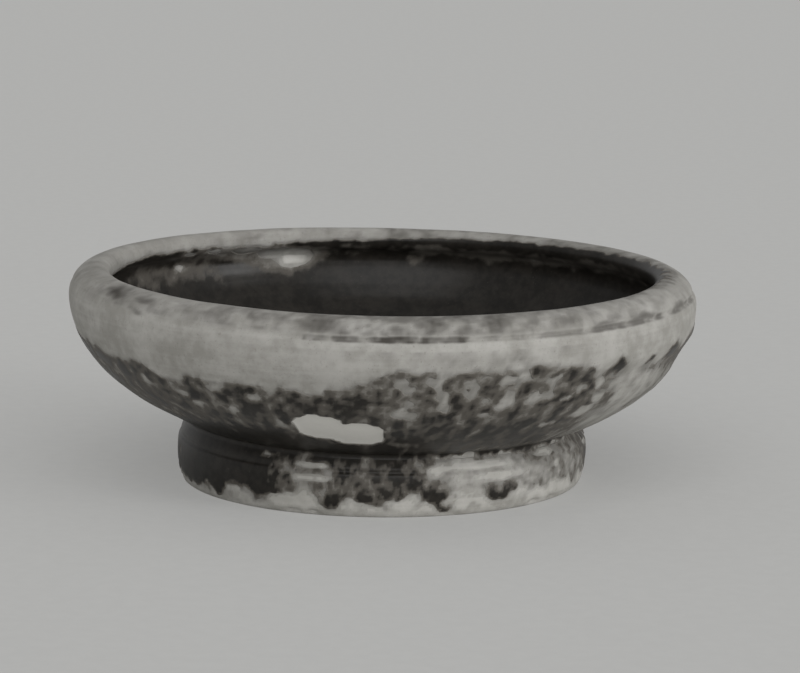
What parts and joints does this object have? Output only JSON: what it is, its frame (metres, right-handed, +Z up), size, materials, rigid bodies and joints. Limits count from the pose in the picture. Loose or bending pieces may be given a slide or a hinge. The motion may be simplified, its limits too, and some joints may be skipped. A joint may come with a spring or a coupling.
{
  "type": "bowl",
  "caption": "Low wheel-thrown pottery bowl with a rounded incurved lip, a ring foot luted on below, and a worn coat of dark gloss slip.",
  "frame": {"origin": "centre of the circle that the foot rests on, at table height", "axes": "+Z up along the axis of turning; the bowl is round, so X and Y are any two directions square to it"},
  "size_m": [0.12, 0.12, 0.0414],
  "materials": {
    "clay": "pale fine-grained fired clay, matt and a little worn",
    "lute": "the same clay put on wet as a joint and smoothed over",
    "slip": "dark gloss slip, semi-gloss, flaked and worn"
  },
  "bodies": {
    "root": {"bowl_body": "clay", "foot_ring": "clay", "luting_slip": "lute", "inner_slip_coat": "slip", "outer_slip_coat": "slip", "underside_slip_coat": "slip"}
  },
  "joints": []
}
